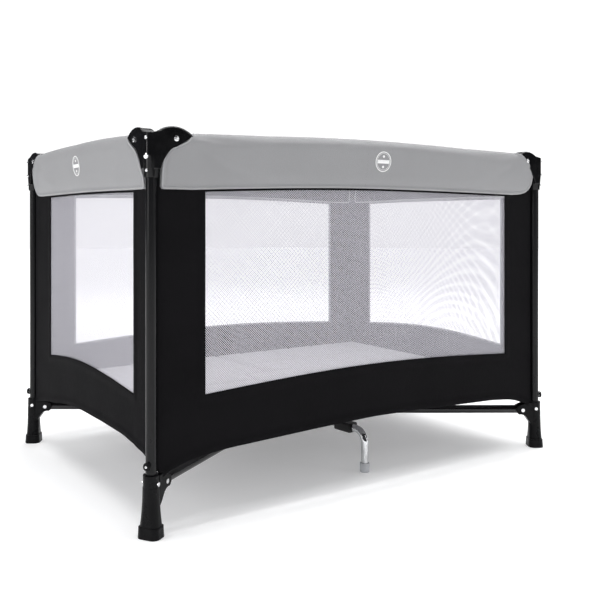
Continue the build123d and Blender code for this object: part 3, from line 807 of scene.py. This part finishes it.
def build_pad(kind):
    """Whole padded side, centred on its middle: X along, outward +Y, in millimetres."""
    u = pad_columns(kind)
    low, high = pad_bottom(kind, u), pad_top(kind, u)
    room = np.minimum(1, (high - low) / 45)
    up = np.array([0, 0.5, 1.5, 3, 5, 8, 12.0])
    down = np.array([16, 12.5, 9, 6, 3.5, 1.5, 0.4, 0])
    rows = [low + d * room for d in up]
    first, last = low + up[-1] * room, high - down[0] * room
    rows += [first + (last - first) * t for t in np.linspace(0, 1, 10)[1:-1]]
    rows += [high - d * room for d in down]
    z = np.array(rows)
    uu = np.broadcast_to(u, z.shape).ravel()
    h, to_side, to_bottom = pad_half_thickness(kind, uu, z.ravel())
    points = np.column_stack([uu, np.zeros(len(uu)), z.ravel()])
    verts, quads = shell(points, OUTWARD, grid_faces(*z.shape)[:, ::-1], h, h)
    seam = np.tile((to_side < END_SEAM) | (to_bottom < LOWER_SEAM), 2)
    verts = inflated(verts, quads, seam, cap=PAD_SWELL)
    pucker = np.tile(np.exp(-(((to_side - 13) / 7) ** 2)), 2) * np.sin((verts[:, 0] + verts[:, 2]) / 3.1)
    sag = ripple(verts[:, 0], verts[:, 2] * 1.5, 210, 11 if kind == "long" else 12)
    verts[:, 1] += np.sign(verts[:, 1]) * (0.22 * pucker + 0.3 * sag * ~seam)
    outer = verts[quads, 1].mean(1) > -0.2
    mesh = Pieces().add(verts, quads).mesh("pad")
    mesh.polygons.foreach_set("material_index", np.where(outer, 0, 2).astype(np.int32))
    mesh = subdivided(mesh)
    whole = Pieces()
    whole.add(mesh_points(mesh), [])
    for p in mesh.polygons:
        whole.faces.append(tuple(p.vertices))
        whole.numbers.append(p.material_index)
    for face in (-1, 1):
        whole.add(*tube(welt_path(kind, face), WELT_R), 1)
    return whole.mesh("pad")


def emblem(pad_mesh, centre_z):
    """Printed badge on a pad's outer face: two rings, a plain bar, a dot above and one below. Millimetres."""
    tree = BVHTree.FromPolygons(
        [v.co.copy() for v in pad_mesh.vertices], [tuple(p.vertices) for p in pad_mesh.polygons]
    )
    made = Pieces()

    def lay(plan, faces):
        points = []
        for x, z in plan:
            hit = tree.ray_cast(Vector((x + EMBLEM_SHIFT, 60, centre_z + z)), Vector((0, -1, 0)))[0]
            points.append(tuple(hit))
        made.add(*shell(np.array(points), OUTWARD, faces[:, ::-1], 0.35, 0.1))

    angle = np.linspace(0, 2 * math.pi, 73)[:-1]
    for inner, outer in EMBLEM_RINGS:
        radii = np.linspace(EMBLEM_R - inner, EMBLEM_R - outer, 3)
        rings = [np.column_stack([r * np.cos(angle), r * np.sin(angle)]) for r in radii]
        n = len(angle)
        quads = np.array([
            (k * n + i, (k + 1) * n + i, (k + 1) * n + (i + 1) % n, k * n + (i + 1) % n)
            for k in range(2) for i in range(n)
        ])
        lay(np.vstack(rings), quads)
    bar_x, bar_z = np.meshgrid(*(np.linspace(-h, h, n) for h, n in zip(EMBLEM_BAR, (17, 5))))
    lay(np.column_stack([bar_x.ravel(), bar_z.ravel()]), grid_faces(5, 17))
    for centre in (EMBLEM_DOT_Z, -EMBLEM_DOT_Z):
        plan, faces = disc_patch(EMBLEM_DOT_R, 9)
        lay(plan + (0, centre), faces)
    return made.mesh("emblem")


pads = {kind: build_pad(kind) for kind in ("long", "short")}
for side, corners in SIDES.items():
    kind = length_of(side)
    spans = ((None, -CENTRE_HALF - CUT_GAP), (-CENTRE_HALF, CENTRE_HALF), (CENTRE_HALF + CUT_GAP, None))
    names = (f"{side}_pad_{corners[0]}", f"{side}_pad_middle", f"{side}_pad_{corners[1]}")
    (first_rail, first_pad), (last_rail, last_pad) = (rail_names(side, c) for c in corners)
    bodies = (first_rail, f"latch_{side}", last_rail)
    stood_for = ([first_pad], [first_pad, last_pad], [last_pad])
    anchors = (RAIL_Z, LATCH_CENTRE_Z, RAIL_Z)
    for span, name, body, replaced, anchor in zip(spans, names, bodies, stood_for, anchors):
        part = cut_between(pads[kind], *span)
        set_points(part, to_wall(side, mesh_points(part)))
        obj = make_object(name, part, [pad_cloth, welt_cloth, side_cloth])
        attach(obj, body)
        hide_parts(*replaced)
        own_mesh(obj)
    if side in ("front", "left"):
        mark = emblem(pads[kind], EMBLEM_Z[side])
        set_points(mark, to_wall(side, mesh_points(mark)))
        badge = make_object(f"{side}_pad_emblem", mark, [emblem_print])
        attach(badge, f"latch_{side}")
        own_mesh(badge)


# ---- side cloth and nets
def window_bottom(s, edge, half):
    low, rise = WINDOW_BOTTOM
    return low + rise * np.sin(math.pi / 2 * np.clip((s - edge) / (half - edge), 0, 1))


def cloth_half(side, corner, sign):
    """Black border of half a side: corner panel, lower panel with its hem, and the strip under the pad."""
    kind, edge = length_of(side), WINDOW_EDGE[side, corner]
    half = HALF[kind]
    bends = [7.5, 8.3, 9.1, 10.0, 11.2, 13, 16, 20, 24, 29, CLOTH_FLAT_FROM]
    count = max(3, int((edge - BAND - CLOTH_FLAT_FROM - 1) / 9) + 1)
    panel = np.linspace(CLOTH_FLAT_FROM, edge - BAND - 1, count)[1:]
    inner = np.linspace(edge, half - 0.02, int((half - edge) / 9) + 1)
    s = np.concatenate([bends, panel, [edge - BAND, edge - BAND / 2, edge - 0.8], inner])
    inward = smooth_curve(CLOTH_PATH, s)
    hem = smooth_curve(hem_of(side, corner), s)
    low = window_bottom(s, edge, half)
    pad_foot = np.minimum(pad_bottom(kind, sign * (half - np.maximum(s, 66))), CLOTH_TOP_LIMIT)
    top = pad_foot - WINDOW_GAP
    seam = pad_foot + CLOTH_TUCK + CLOTH_RISE * (1 - smoothstep(s, 22, 60))
    rows = [hem, hem + 1, hem + BAND, hem + BAND + 1]
    rows += [hem + BAND + 1 + (low - BAND - 1 - hem - BAND - 1) * t for t in np.linspace(0, 1, 9)[1:]]
    rows += [low - BAND, low - BAND / 2, low - 0.8, low]
    sill = len(rows) - 1
    rows += [low + (top - low) * t for t in np.linspace(0, 1, 25)[1:]]
    head = len(rows) - 1
    rows += [top + 0.8, top + 3, (top + 3 + seam) / 2, seam]
    z = np.array(rows)
    window_column = len(s) - len(inner)
    keep = np.ones((z.shape[0] - 1, z.shape[1] - 1), bool)
    keep[sill:head, window_column:] = False
    faces = grid_faces(*z.shape, keep)

    def spread(row):
        return np.broadcast_to(row, z.shape).ravel()

    flat_s, flat_z = spread(s), z.ravel()
    drape = ripple(flat_s, flat_z * 0.6, 120, name_seed(side + corner)) * 0.9
    drape = drape * smoothstep(flat_s, CLOTH_FLAT_FROM, 60) * smoothstep(half - flat_s, 0, 70)
    drape = drape * (1 - smoothstep(flat_z, 560, 590))
    free = smoothstep(np.minimum(np.abs(flat_s - edge), np.abs(flat_z - spread(low))), 2, 16)
    outward = -spread(inward) + drape * (0.25 + 0.75 * free)
    points = np.column_stack([sign * (half - flat_s), outward, flat_z])
    slope = np.gradient(inward, s)
    normal = np.column_stack([-sign * slope, np.ones(len(s)), np.zeros(len(s))])
    normal /= np.linalg.norm(normal, axis=1)[:, None]
    normals = np.broadcast_to(normal, (*z.shape, 3)).reshape(-1, 3)
    i, j = np.meshgrid(np.arange(z.shape[0]), np.arange(z.shape[1]), indexing="ij")
    in_hem = (i >= 1) & (i <= 2)
    beside = (j >= window_column - 3) & (j <= window_column - 2) & (i > sill - 3)
    under = (i >= sill - 3) & (i <= sill - 1) & (j > window_column - 4)
    thick = np.where((in_hem | beside | under).ravel(), BAND_HALF, CLOTH_HALF)
    if sign > 0:
        faces = faces[:, ::-1]
    points, faces, used = compact(points, faces)
    return shell(points, normals[used], faces[:, ::-1], thick[used], thick[used])


def net_side(kind):
    """Knitted net of a whole side, one sheet with diamond holes, as (points, quads, centre of each quad)."""
    pitch = NET_PITCH
    hole = math.sqrt(1 - NET_COVER) / 2 * pitch
    columns = int(HALF[kind] / pitch) + 1
    rows = int((NET_TOP - NET_LOW) / (pitch / 2))
    j, i = np.meshgrid(np.arange(rows), np.arange(-columns, columns), indexing="ij")
    cu = (i + 0.5 * (j % 2)) * pitch
    cz = NET_LOW + j * pitch / 2
    corners = np.array([(hole, 0), (0, hole), (-hole, 0), (0, -hole)])
    verts = np.stack([cu[..., None] + corners[:, 0], cz[..., None] + corners[:, 1]], -1)
    index = (np.arange(rows)[:, None] * 2 * columns + np.arange(2 * columns)[None]) * 4

    def neighbour(step):
        """Index of the diamond up to the right (1) or up to the left (0), -1 past the sheet's edge."""
        up, beside = j + 1, np.arange(2 * columns) + step - 1 + j % 2
        ok = (up < rows) & (beside >= 0) & (beside < 2 * columns)
        return np.where(ok, (up * 2 * columns + beside) * 4, -1)

    right_up, left_up = neighbour(1), neighbour(0)
    above = np.where(j + 2 < rows, index + 2 * 2 * columns * 4, -1)
    R, T, L, B = range(4)
    strands = (
        (right_up >= 0, (index + R, right_up + B, right_up + L, index + T)),
        (left_up >= 0, (index + T, left_up + R, left_up + B, index + L)),
        ((right_up >= 0) & (left_up >= 0) & (above >= 0), (index + T, right_up + L, above + B, left_up + R)),
    )
    quads = np.vstack([np.stack(points, -1)[ok] for ok, points in strands])
    centre = np.concatenate([np.column_stack([cu[ok], cz[ok]]) for ok, _ in strands])
    return verts.reshape(-1, 2), quads, centre


def net_half(side, corner, sign, whole):
    verts, quads, centre = whole
    kind, edge = length_of(side), WINDOW_EDGE[side, corner]
    half = HALF[kind]
    s = half - np.abs(centre[:, 0])
    on_right = centre[:, 0] > -1e-6
    inside = (on_right == (sign > 0)) & (s > edge - NET_TUCK)
    inside &= centre[:, 1] > window_bottom(s, edge, half) - NET_TUCK
    inside &= centre[:, 1] < pad_bottom(kind, centre[:, 0]) - WINDOW_GAP + NET_TUCK
    points, faces, _ = compact(verts, quads[inside])
    slack = ripple(points[:, 0], points[:, 1], 160, 5) * 0.8
    clear = np.minimum(half - np.abs(points[:, 0]) - edge, points[:, 1] - NET_SLACK_FROM)
    depth = smoothstep(clear, 0, 40)
    placed = np.column_stack([points[:, 0], -NET_DEPTH + (slack - 1.2) * depth, points[:, 1]])
    return placed, faces


net_wholes = {kind: net_side(kind) for kind in ("long", "short")}
for side, corners in SIDES.items():
    for corner, sign in zip(corners, (-1, 1)):
        kind, edge = length_of(side), WINDOW_EDGE[side, corner]
        sides_of = CORNERS[corner]
        anchor = (sides_of[0] * LONG_HALF * MM, sides_of[1] * SHORT_HALF * MM, 0)
        verts, quads = cloth_half(side, corner, sign)
        mesh = Pieces().add(to_wall(side, verts), quads).mesh("cloth")
        sharpen(mesh, 50)
        cloth = make_object(f"{side}_cloth_{corner}", mesh, [side_cloth])
        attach(cloth, f"corner_{corner}")
        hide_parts(f"{corner}_side_cloth")
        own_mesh(cloth)
        points, faces = net_half(side, corner, sign, net_wholes[kind])
        mesh = bpy.data.meshes.new("net")
        mesh.from_pydata(to_wall(side, points), [], faces)
        mesh.update()
        net = make_object(f"{side}_net_{corner}", mesh, [net_yarn])
        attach(net, f"corner_{corner}")
        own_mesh(net)


# ---- quilted floor
def quilt_distances(x, y, notched):
    """Distances from places on a floor quarter in to its rim and to its nearest stitched line."""
    reach_x, reach_y = FLOOR_REACH
    rim = np.minimum(reach_x - x, reach_y - y)
    cx, cy = x - (reach_x - FLOOR_CORNER_R), y - (reach_y - FLOOR_CORNER_R)
    at_corner = FLOOR_CORNER_R - np.hypot(np.maximum(cx, 0), np.maximum(cy, 0))
    rim = np.where((cx > 0) & (cy > 0), at_corner, rim)
    inner = np.minimum(x, y)
    if notched:
        inner = np.minimum(inner, np.maximum(x - FLOOR_PATCH[0], y - FLOOR_PATCH[1]))
    edge = np.clip(np.minimum(rim, inner), 0, None)
    to_line = np.minimum(*(np.abs((p / cell + 0.5) % 1 - 0.5) * cell for p, cell in zip((x, y), FLOOR_CELL)))
    return edge, to_line


def floor_places(reach, notch, count):
    """Places of a floor quarter's mesh lines in one direction, closer together at its outer edge."""
    near_rim = reach - np.array([1, 3, 6, 10, 15])
    return np.unique(np.concatenate([np.linspace(FLOOR_START, reach, count), [notch], near_rim]))


def build_floor_quarter():
    """Quarter of the quilted floor in the positive quadrant, notched at its inner corner. Millimetres."""
    xs, ys = (floor_places(*line) for line in zip(FLOOR_REACH, FLOOR_PATCH, (61, 43)))
    x, y = np.meshgrid(xs, ys)
    middle_x, middle_y = (x[:-1, :-1] + x[1:, 1:]) / 2, (y[:-1, :-1] + y[1:, 1:]) / 2
    edge, _ = quilt_distances(middle_x, middle_y, False)
    keep = ~((middle_x < FLOOR_PATCH[0]) & (middle_y < FLOOR_PATCH[1])) & (edge > 0)
    x, y = x.ravel(), y.ravel()
    edge, to_line = quilt_distances(x, y, True)
    full = FLOOR_HIGH - FLOOR_LOW
    height = full * rounded(edge, FLOOR_RIM_ROUND) * (0.72 + 0.28 * rounded(to_line, 16)) + FLOOR_SKIN
    points = np.column_stack([x, y, np.full(len(x), FLOOR_LOW)])
    points, faces, used = compact(points, grid_faces(len(ys), len(xs), keep))
    verts, quads = shell(points, UPWARD, faces, height[used], 0.0)
    pinned = np.concatenate([(to_line[used] < 3) | (edge[used] < 3), np.ones(len(used), bool)])
    verts = inflated(verts, quads, pinned, cap=2.5, pressure=3.0)
    verts[:, 2] = np.minimum(verts[:, 2], FLOOR_LIMIT)
    verts[:, 0] = np.clip(verts[:, 0], FLOOR_START, FLOOR_REACH[0] + 1)
    verts[:, 1] = np.clip(verts[:, 1], FLOOR_START, FLOOR_REACH[1] + 1)
    return verts, quads


def build_floor_patch():
    """Small quilted rectangle over the hub, inside the quarters' notches. Millimetres."""
    ends = [reach - PATCH_GAP for reach in FLOOR_PATCH]
    x, y = np.meshgrid(*(np.linspace(-end, end, count) for end, count in zip(ends, (25, 21))))
    x, y = x.ravel(), y.ravel()
    edge = np.minimum(FLOOR_PATCH[0] - np.abs(x), FLOOR_PATCH[1] - np.abs(y)) - PATCH_GAP
    to_line = np.minimum(np.abs(x), np.abs(y))
    height = (FLOOR_HIGH - FLOOR_LOW) * rounded(edge, FLOOR_RIM_ROUND)
    height = height * (0.78 + 0.22 * rounded(to_line, 14)) + FLOOR_SKIN
    points = np.column_stack([x, y, np.full(len(x), FLOOR_LOW)])
    return shell(points, UPWARD, grid_faces(21, 25), height, 0.0)


def floor_welt():
    """Line of the binding round a quarter's outer edge."""
    r = FLOOR_CORNER_R
    a, b = FLOOR_REACH
    path = [(a, y) for y in np.linspace(0.6, b - r, 12)[:-1]]
    path += [(a - r + r * math.cos(t), b - r + r * math.sin(t)) for t in np.linspace(0, math.pi / 2, 9)]
    path += [(x, b) for x in np.linspace(a - r, 0.6, 16)[1:]]
    return np.array([(x, y, FLOOR_LOW + 4.5) for x, y in path])


quarter_verts, quarter_quads = build_floor_quarter()
welt_verts, welt_faces = tube(floor_welt(), FLOOR_WELT_R, 8)
# The struts, screws and knobs face along a diagonal whose slope is that of the half rails' lengths.
diagonal = math.atan2(*(half - CAP_PIVOT - LATCH_PIVOT for half in (SHORT_HALF, LONG_HALF)))
for corner, (sx, sy) in CORNERS.items():
    order = -1 if sx * sy < 0 else 1
    made = Pieces()
    for verts, faces, number in ((quarter_verts, quarter_quads, 0), (welt_verts, welt_faces, 1)):
        made.add(verts * (sx * MM, sy * MM, MM), [tuple(f)[::order] for f in faces], number)
    quarter = make_object(f"floor_quarter_{corner}", made.mesh("floor"), [mat_cloth, mat_welt])
    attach(quarter, f"floor_{corner}")
    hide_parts(f"{corner}_floor")
    across = (-sx * math.sin(diagonal), sy * math.cos(diagonal), 0)
    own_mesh(quarter)

patch_verts, patch_quads = build_floor_patch()
patch = Pieces().add(patch_verts * MM, patch_quads)
floor_middle = make_object("floor_middle", patch.mesh("floor_middle"), [mat_cloth])
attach(floor_middle, "hub")


# ---- screw heads and knobs
def slotted_head(radius, rise=1.1):
    """Domed screw head with a driver slot, its flat underside on Z 0."""
    plan, faces = disc_patch(radius, 25)
    reach = np.hypot(plan[:, 0], plan[:, 1]) / radius
    dome = rise * np.sqrt(np.clip(1 - reach**2 * 0.82, 0, 1))
    cut = 1 - smoothstep(np.abs(plan[:, 0]), radius * 0.14, radius * 0.2)
    height = np.maximum(dome - 0.75 * rise * cut * (reach < 0.93), 0.12)
    points = np.column_stack([plan, np.zeros(len(plan))])
    return shell(points, UPWARD, faces, height, 0.0)


# Height on the cap, radius and distance from the post axis of each screw.
CAP_SCREWS = ((685.0, 2.8, 15.9), (653.0, 4.4, 15.9), (629.0, 2.6, 14.4))
PIN_HEAD_REACH = 15.05
PIN_HEAD_R = 4.5
KNOB_Z = 123.5
KNOB_RIVET = (2.3, 0.8)
KNOB_RIVET_REACH = 15.75
KNOB_PROFILE = (
    (0, 9.7), (6.2, 9.7), (7.2, 10.4), (7.2, 13.9), (6.6, 15.2),
    (5.2, 16.0), (3.4, 16.3), (2.8, 15.9), (0, 15.7),
)

for corner, (sx, sy) in CORNERS.items():
    axis_point = np.array([sx * LONG_HALF, sy * SHORT_HALF, 0])
    outward = np.array([sx * math.cos(diagonal), sy * math.sin(diagonal), 0])
    heads = Pieces()
    for k, (z, radius, reach) in enumerate(CAP_SCREWS):
        verts, faces = slotted_head(radius * 1.06)
        place = axis_point + outward * reach + (0, 0, z)
        heads.add(turn_to(verts, place, outward, 0.7 + 0.9 * k) * MM, faces)
    for along, across in (((-sx, 0, 0), (0, 1, 0)), ((0, -sy, 0), (1, 0, 0))):
        for direction in (1, -1):
            normal = np.array(across) * direction
            place = axis_point + np.array(along) * CAP_PIVOT + normal * PIN_HEAD_REACH + (0, 0, RAIL_Z)
            verts, faces = slotted_head(PIN_HEAD_R * 1.04)
            heads.add(turn_to(verts, place, normal, 1.45) * MM, faces)
    verts, faces = slotted_head(*KNOB_RIVET)
    place = axis_point + outward * KNOB_RIVET_REACH + (0, 0, KNOB_Z)
    heads.add(turn_to(verts, place, outward, 0.4) * MM, faces)
    mesh = heads.mesh("heads")
    sharpen(mesh, 40)
    obj = make_object(f"screw_heads_{corner}", mesh, [screw_metal])
    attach(obj, f"corner_{corner}")
    verts, faces = lathe(KNOB_PROFILE)
    mesh = Pieces().add(turn_to(verts, axis_point + (0, 0, KNOB_Z), outward) * MM, faces).mesh("knob")
    sharpen(mesh, 50)
    knob = make_object(f"knob_{corner}", mesh, [foot_plastic])
    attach(knob, f"corner_{corner}")


# ---- stage, light and camera, in metres
GROUND_R = 14.0
GROUND_Z = -0.0004
GLOW_SPAN = (0.9, 2.8)
CAMERA_LENS = 47.16
CAMERA_SHIFT = (0.0333, -0.1323)
CAMERA_PLACE = (-1.056, -1.600, 0.543)
CAMERA_YAW = 33.30


def light_path_mix(tree, ray, otherwise, chosen):
    """Colour that is chosen for one kind of ray and otherwise for the rest."""
    path = tree.nodes.new("ShaderNodeLightPath")
    mix = tree.nodes.new("ShaderNodeMix")
    mix.data_type = "RGBA"
    for slot, value in ((mix.inputs[6], otherwise), (mix.inputs[7], chosen)):
        if isinstance(value, tuple):
            slot.default_value = (*value, 1)
        else:
            tree.links.new(value, slot)
    tree.links.new(path.outputs[ray], mix.inputs["Factor"])
    return mix.outputs[2]


def build_ground():
    """White paper floor that glows gently further out, where it meets the white background."""
    plan, faces = disc_patch(GROUND_R, 33)
    mesh = bpy.data.meshes.new("ground")
    mesh.from_pydata(np.column_stack([plan, np.full(len(plan), GROUND_Z)]), [], faces.tolist())
    s = Shader("ground_paper")
    s.colour(s.blend(s.ranged(s.noise(0.8, 2), 0, 1), (0.86, 0.86, 0.865), (0.89, 0.89, 0.89)))
    far = s.node("ShaderNodeVectorMath", operation="LENGTH")
    s.join(s.place, far.inputs[0])
    s.join(s.ranged(far.outputs["Value"], 0.2, 0.8, *GLOW_SPAN), s.main.inputs["Emission Color"])
    s.set(Roughness=0.7, Specular_IOR_Level=0.2, Emission_Strength=1.0)
    return make_object("ground", mesh, [s.material])


build_ground()

world = bpy.data.worlds.new("studio")
scene.world = world
world.use_nodes = True
sky = world.node_tree
background = next(n for n in sky.nodes if n.type == "BACKGROUND")
seen = light_path_mix(sky, "Is Glossy Ray", (0.56, 0.565, 0.575), (0.05, 0.05, 0.055))
seen = light_path_mix(sky, "Is Camera Ray", seen, (1.1, 1.1, 1.1))
sky.links.new(seen, background.inputs["Color"])


def softbox(name, place, target, size, power):
    light = bpy.data.lights.new(name, "AREA")
    light.shape = "RECTANGLE"
    light.size, light.size_y = size
    light.energy = power
    lamp = bpy.data.objects.new(name, light)
    scene.collection.objects.link(lamp)
    lamp.location = place
    lamp.rotation_euler = (Vector(target) - Vector(place)).to_track_quat("-Z", "Y").to_euler()


softbox("top_box", (0.4, -0.1, 3.0), (0.4, -0.1, 0), (4.0, 3.4), 80)
softbox("strip_box", (1.5, -0.05, 2.9), (1.5, -0.05, 0), (5.6, 0.45), 58)
softbox("left_box", (-3.2, -0.4, 1.5), (0, 0, 0.4), (0.6, 2.4), 32)
softbox("front_box", (2.0, -3.0, 1.6), (0, 0, 0.4), (0.6, 2.4), 12)
softbox("back_box", (1.6, 3.2, 2.4), (0, 0, 0.4), (2.6, 1.6), 35)

camera = bpy.data.cameras.new("camera")
camera.lens, camera.sensor_width = CAMERA_LENS, 36
camera.shift_x, camera.shift_y = CAMERA_SHIFT
view = bpy.data.objects.new("camera", camera)
scene.collection.objects.link(view)
view.location = CAMERA_PLACE
view.rotation_euler = (math.radians(90), 0, math.radians(-CAMERA_YAW))
scene.camera = view
scene.view_settings.view_transform = "Standard"
